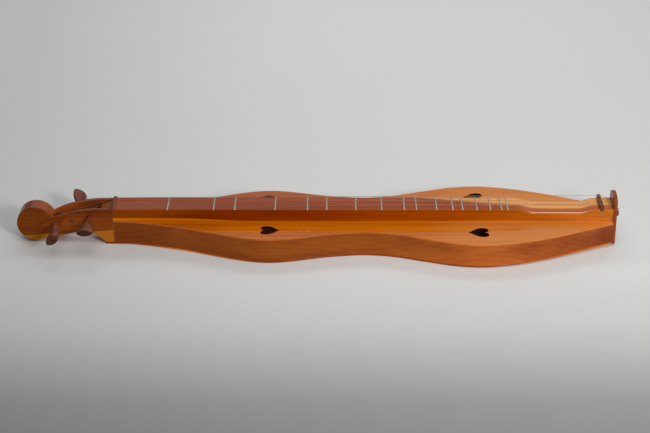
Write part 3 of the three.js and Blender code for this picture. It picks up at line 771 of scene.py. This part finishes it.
def prism(name, outline, start, end, upright_axis):
    """A side view [x, z] carried along Y, or a plan [x, y] carried along Z."""
    n = len(outline)
    rings = []
    for d in (start, end):
        rings.append([(a, d, b) if upright_axis == 1 else (a, b, d) for a, b in outline])
    points = rings[0] + rings[1]
    faces = [(i, (i + 1) % n, n + (i + 1) % n, n + i) for i in range(n)]
    faces += [tuple(range(n)), tuple(range(n, 2 * n))]
    return make(name, points, faces)


def apply(obj, kind, **values):
    """Adds a modifier and makes its result the mesh."""
    modifier = obj.modifiers.new(kind, kind)
    for key, value in values.items():
        setattr(modifier, key, value)
    depsgraph = bpy.context.evaluated_depsgraph_get()
    mesh = bpy.data.meshes.new_from_object(obj.evaluated_get(depsgraph))
    obj.modifiers.clear()
    old = obj.data
    obj.data = mesh
    bpy.data.meshes.remove(old)


def combine(obj, tool, operation):
    """Cuts or keeps what a second object covers, and removes that object."""
    apply(obj, "BOOLEAN", object=tool, operation=operation, solver="EXACT")
    bpy.data.objects.remove(tool)


def mirrored(half):
    return [(x, -y) for x, y in half] + [(x, y) for x, y in half[::-1]]


def head():
    """Side view and plan cut from one block, hollowed, softened like carved wood and cut off at the nut."""
    angles = np.linspace(0.135 * math.pi, 1.64 * math.pi, 110)
    arc = [(DISC[0] + DISC[2] * math.cos(a), DISC[1] + DISC[2] * math.sin(a)) for a in angles]
    view = [tuple(p) for p in catmull([*TOP_LINE, arc[0]], 60)[:-1]] + arc
    view += [tuple(p) for p in catmull([arc[-1], *LOW_LINE], 60)[1:]] + [(6, 3)]
    body = prism("head_carving", view, -32, 32, 1)
    plan = mirrored([tuple(p) for p in catmull(PLAN, 60)])
    combine(body, prism("plan", plan, -10, 90, 2), "INTERSECT")
    slot = prism("slot", SLOT_FLOOR, -32, 32, 1)
    combine(slot, prism("slot_plan", mirrored(SLOT_PLAN), 0, 95, 2), "INTERSECT")
    combine(body, slot, "DIFFERENCE")
    apply(body, "REMESH", mode="VOXEL", voxel_size=VOXEL, adaptivity=0.0)
    apply(body, "SMOOTH", factor=0.5, iterations=6)
    carve(body)
    bm = bmesh.new()
    bm.from_mesh(body.data)
    cut = Vector((metres(HEAD_END), 0, 0))
    everything = bm.verts[:] + bm.edges[:] + bm.faces[:]
    found = bmesh.ops.bisect_plane(bm, geom=everything, plane_co=cut, plane_no=(1, 0, 0), clear_outer=True)
    border = [e for e in found["geom_cut"] if isinstance(e, bmesh.types.BMEdge)]
    bmesh.ops.holes_fill(bm, edges=border)
    bm.to_mesh(body.data)
    bm.free()
    body.data.polygons.foreach_set("use_smooth", [True] * len(body.data.polygons))
    body.data.set_sharp_from_angle(angle=math.radians(50))
    return body


def carve(body):
    """The groove that curls in from the slot's end across both faces of the round end."""
    mesh = body.data
    co = np.zeros(len(mesh.vertices) * 3)
    mesh.vertices.foreach_get("co", co)
    co = co.reshape(-1, 3) * 1000
    co[:, 0] -= START_X
    count = GROOVE_LEVEL + GROOVE_FADING
    path = catmull(GROOVE, count)
    width = np.linspace(*GROOVE_WIDTH, count)
    level = np.full(GROOVE_LEVEL, GROOVE_DEPTH[0])
    depth = np.concatenate([level, np.linspace(*GROOVE_DEPTH, GROOVE_FADING)])
    near = np.abs(co[:, 1]) > 11.0
    near &= (co[:, 0] < -90)
    d = np.linalg.norm(co[near][:, None, [0, 2]] - path[None], axis=2)
    cut = (depth[None] * np.exp(-((d / width[None]) ** 2))).max(1)
    co[near, 1] -= np.sign(co[near, 1]) * cut
    co[:, 0] += START_X
    mesh.vertices.foreach_set("co", (co / 1000).ravel())
    mesh.update()


place(head(), M_HEAD, "head_wood", "instrument", "head_block")

# ---------------------------------------------------------------- pegs

# Distances from the centre line to the knob's end and to the tip, the knob's turn in degrees, its width and
# thickness, how stout its neck is, and where the string's turns are centred.
PEGS = {
    "melody": {"knob": FRONT, "end": 66, "tip": 19.4, "roll": 5, "wide": 25.4, "thick": 11.4, "neck": 1.0,
               "winding": -7.2},
    "middle": {"knob": REAR, "end": 70.5, "tip": 19.2, "roll": 142, "wide": 23.6, "thick": 11.4, "neck": 1.0,
               "winding": 0},
    "bass": {"knob": FRONT, "end": 69.5, "tip": 17.4, "roll": 38, "wide": 22.4, "thick": 13.6, "neck": 1.28,
             "winding": 5},
}
# The first knob, which the others are scaled from: distance back from its end, half width, half thickness.
KNOB = [(40, 3.9, 3.9), (36, 4.0, 4.0), (32, 4.1, 4.05), (29, 4.6, 4.1), (26, 6.4, 4.25), (22, 9.2, 4.55),
        (18, 10.7, 4.9), (13, 11.9, 5.3), (8, 12.6, 5.65), (4, 12.7, 5.7), (2, 12.4, 5.55),
        (1.1, 11.9, 5.25), (0.55, 11.0, 4.8), (0.25, 9.5, 4.1), (0.1, 6.0, 2.6), (0.0, 0.3, 0.15)]
KNOB_WIDE, KNOB_THICK, SMOOTH_KNOB = 25.4, 11.4, 11
# The neck between shank and knob: how far back from the end it turns into the knob, and over what length.
STEM_BACK, STEM_BLEND = 32, 8
# The shank's radius, by distance from the centre line.
SHANK = ((-15, 18), (3.35, 4.05))
# How far the knob's round section is drawn toward a ridge, from its neck to its full width.
RIDGE, RIDGE_FROM, RIDGE_OVER = 0.34, 4.4, 5


def knob_stations(spec):
    """Distance along the peg, half width and half thickness, with the neck and the blade scaled apart."""
    knob = []
    for back, a, b in KNOB:
        share = min(1.0, max(0.0, (STEM_BACK - back) / STEM_BLEND))
        neck = 1 + (spec["neck"] - 1) * (1 - share)
        wide = 1 + (spec["wide"] / KNOB_WIDE - 1) * share
        thick = 1 + (spec["thick"] / KNOB_THICK - 1) * share
        knob.append((spec["end"] - back, a * neck * wide, b * neck * thick))
    return [tuple(k) for k in catmull(knob[:SMOOTH_KNOB], 50)] + knob[SMOOTH_KNOB:]


def peg(name, spec):
    """A tapered shank with a flat carved knob, turned about its axis by its roll."""
    x, z, tip = middle("winding_" + name, 0), middle("winding_" + name, 2), spec["tip"]
    stations = [(-tip, 0.05, 0.05), (-tip, 2.6, 2.6), (0.25 - tip, 3.05, 3.05), (0.9 - tip, 3.3, 3.3)]
    for t in np.linspace(-15, 18, 8):
        r = float(np.interp(t, *SHANK))
        stations.append((t, r, r))
    stations += knob_stations(spec)
    turn = -math.radians(spec["roll"])
    rings = []
    for d, a, b in stations:
        ring = []
        ridge = 1 + RIDGE * min(1.0, max(0.0, (a - RIDGE_FROM) / RIDGE_OVER))
        for t in np.linspace(0, 2 * math.pi, 48, endpoint=False):
            u = a * math.cos(t)
            v = b * math.copysign(abs(math.sin(t)) ** ridge, math.sin(t))
            across, up = u * math.cos(turn) + v * math.sin(turn), v * math.cos(turn) - u * math.sin(turn)
            ring.append((x + across, spec["knob"] * d, z + up))
        rings.append(ring)
    return loft("tuning_peg_" + name, rings, 50)


# ---------------------------------------------------------------- strings and pins

PLATE_IN, PLATE_OUT = low("tail_plate", 0), high("tail_plate", 0)
PIN_Z, PIN_END = middle("hitch_pin_middle", 2), high("hitch_pin_middle", 0)
PIN_SHANK, PIN_CAP, PIN_ROOT = 1.3, 2.2, 2.5
TURNS, TURN_STEPS, TURN_GAP, TURN_CORE = 6.0, 28, 0.12, 4.0
WRAP_CORE, WRAP_TURN, WRAP_SHIFT, WRAP_STEPS = 1.45, 2.1 * math.pi, 0.35, 26
STRING_STEP = 25


def string_turns(name):
    """The path of the turns round a peg. Its last point tucks the end into the peg."""
    x, z, r = middle("winding_" + name, 0), middle("winding_" + name, 2), STRING_R[name]
    coil, pitch, count = TURN_CORE + r, 2 * r + TURN_GAP, int(TURNS * TURN_STEPS)
    start = PEGS[name]["winding"] - TURNS * pitch / 2
    helix = []
    for i in range(count + 1):
        a = 2 * math.pi * TURNS * i / count
        helix.append((x - coil * math.sin(a), start + TURNS * pitch * i / count, z + coil * math.cos(a)))
    return helix + [(x + 0.3, helix[-1][1] + pitch * 0.4, z + coil - 1.2)]


def string_run(name, first):
    """The path from the peg over the nut and bridge, through the tail plate and round the hitch pin."""
    r, y = STRING_R[name], STRING_Y[name]
    nut_top, bridge_top = high("nut", 2) + r, high("bridge", 2) + r
    nut_mid, bridge_mid = middle("nut", 0), middle("bridge", 0)
    corners = [
        first, (low("nut", 0) - 0.2, y, nut_top - 0.75), (nut_mid - 1.4, y, nut_top - 0.3),
        (nut_mid, y, nut_top - 0.12), (nut_mid + 1.6, y, nut_top - 0.1),
        (bridge_mid - 0.8, y, bridge_top - 0.1), (bridge_mid + 0.6, y, bridge_top - 0.1),
        (high("bridge", 0) - 0.2, y, bridge_top - 0.7), (PLATE_IN, y, 58.7), (PLATE_OUT, y, 57.5),
        (PLATE_OUT + 1.0, y, PIN_Z + 1.6 + r),
    ]
    path = []
    for a, b in zip(corners, corners[1:]):
        steps = max(2, int(np.linalg.norm(np.subtract(b, a)) / STRING_STEP))
        path += [tuple(np.array(a) + (np.array(b) - a) * i / steps) for i in range(steps)]
    wrap = WRAP_CORE + r
    for a in np.linspace(0, WRAP_TURN, WRAP_STEPS):
        out = PLATE_OUT + 1.0 + WRAP_SHIFT * a / WRAP_TURN
        path.append((out, y - wrap * math.sin(a), PIN_Z + wrap * math.cos(a)))
    return path


def pin_profile():
    """Distance out from the tail plate and radius: a shank with a domed cap."""
    length = PIN_END - PLATE_OUT
    shank = [(-PIN_ROOT, PIN_SHANK), (0.0, PIN_SHANK), (length - 1.1, PIN_SHANK)]
    cap = [(length - 1.1, PIN_CAP - 0.2), (length - 0.9, PIN_CAP), (length - 0.5, PIN_CAP * 0.93),
           (length - 0.15, PIN_CAP * 0.6), (length, 0)]
    return shank + cap


for name, spec in PEGS.items():
    tuner = "tuner_" + name
    place(peg(name, spec), M_DARK, "dark_wood", tuner, "peg_" + name)
    helix = string_turns(name)
    turns = tube("string_turns_" + name, helix, STRING_R[name])
    place(turns, M_SHADED_TURNS, "string_steel", tuner, "winding_" + name)
    run = tube("string_run_" + name, string_run(name, helix[0]), STRING_R[name])
    place(run, M_STRING, "string_steel", "instrument", "string_" + name)
    pin = lathe("pin_turned_" + name, pin_profile(), (PLATE_OUT, STRING_Y[name], PIN_Z))
    place(pin, M_BRASS, "pin_brass", "instrument", "hitch_pin_" + name)

# ---------------------------------------------------------------- tail plate and button

SHOULDER, SHOULDER_HALF, FOOT_HALF = 69.6, 19.3, 25.5
HOLE_Z, HOLE_R = 58.05, 1.2
foot, crown = low("tail_plate", 2), high("tail_plate", 2)
arch = [(-t * SHOULDER_HALF, SHOULDER + (crown - SHOULDER) * (1 - t * t)) for t in np.linspace(-1, 1, 41)]
outline = [(-FOOT_HALF, foot), (FOOT_HALF, foot)] + arch
angles = np.linspace(0, -2 * math.pi, 20, endpoint=False)
circle = [(HOLE_R * math.cos(a), HOLE_Z + HOLE_R * math.sin(a)) for a in angles]
holes = [[(y + across, z) for across, z in circle] for y in STRING_Y.values()]
plate = board("tail_board", [outline, *holes], PLATE_IN, PLATE_OUT, (0.7, 0.3), lambda y, z, x: (x, y, z))
place(plate, M_PLATE, "head_wood", "instrument", "tail_plate")

BUTTON = [(-1, 2.5), (0.0, 3.6), (0.35, 3.7), (0.8, 3.1), (1.6, 2.75), (2.3, 2.8), (2.9, 3.5), (3.4, 4.35),
          (4.0, 4.6), (4.8, 4.55), (5.6, 4.1), (6.3, 3.0), (6.65, 1.6), (6.8, 0)]
button = lathe("turned_button", BUTTON, (PLATE_OUT, 0, middle("end_button", 2)))
place(button, M_DARK, "dark_wood", "instrument", "end_button")

# ---------------------------------------------------------------- floor, light and camera

# Painted shade on the paper as the lamps' light falls off, from near to far and from left to right: stops are
# [metres plus 0.6, grey].
SHADE_NEAR_TO_FAR = ((0.0, 138), (0.18, 174), (0.36, 236), (0.5, 255))
SHADE_LEFT_TO_RIGHT = ((0.0, 238), (0.45, 253), (1.0, 255))
FADE_START = 0.6


def paper():
    """Pale paper with painted shade, darker toward the front and a little toward the left."""
    n = Nodes("floor_paper")
    x, y, _ = n.xyz()
    tone = n.mix(n.noise((2, 2, 2), 2), (236, 237, 235), (240, 241, 239))
    # Painted shade: the paper darkens toward the front and the left as the lamps' light falls off.
    tone = n.shade(tone, n.ramp(n.math("ADD", y, FADE_START), *SHADE_NEAR_TO_FAR))
    tone = n.shade(tone, n.ramp(n.math("ADD", x, FADE_START), *SHADE_LEFT_TO_RIGHT))
    return n.finish(tone, 0.75, n.noise((700, 700, 700), 2), 0.03, 0.0002)


corners = [(-6000, -5000, 0), (7000, -5000, 0), (7000, 7000, 0), (-6000, 7000, 0)]
floor = make("floor", corners, [(0, 1, 2, 3)])
floor.data.materials.append(paper())

scene = bpy.context.scene
scene.view_settings.view_transform = "Standard"
world_light = bpy.data.worlds.new("studio")
scene.world = world_light
world_light.use_nodes = True
sky = world_light.node_tree.nodes["Background"]
sky.inputs["Color"].default_value = (0.80, 0.81, 0.82, 1)
sky.inputs["Strength"].default_value = 0.16


def face(obj, at, target):
    """Stands a light or camera at a place, in metres, facing a target."""
    obj.location = at
    obj.rotation_euler = (Vector(target) - Vector(at)).to_track_quat("-Z", "Y").to_euler()
    scene.collection.objects.link(obj)


def softbox(name, at, target, size, watts, spread=180):
    data = bpy.data.lights.new(name, "AREA")
    data.shape = "RECTANGLE"
    data.size, data.size_y = size
    data.energy = watts
    data.spread = math.radians(spread)
    obj = bpy.data.objects.new(name, data)
    obj.visible_camera = False
    face(obj, at, target)


softbox("key", (0.95, -1.8, 1.15), (0.0, 0.0, 0.0), (0.55, 0.4), 18.5, 150)
softbox("top", (0.25, -0.6, 1.9), (0.05, 0.1, 0.0), (2.2, 1.2), 6.3, 130)
softbox("back", (0.0, 1.25, 1.5), (0.0, 0.95, 0.0), (2.4, 0.5), 4.5, 110)
softbox("rear", (0.15, 2.5, 1.45), (0.05, 0.0, 0.05), (3.4, 1.5), 6.5)

camera_data = bpy.data.cameras.new("camera")
camera_data.lens, camera_data.sensor_width = 84.2, 36
camera = bpy.data.objects.new("camera", camera_data)
face(camera, (-0.0452, -1.9763, 1.1209), (-0.0452, 0.0002, 0.0357))
scene.camera = camera
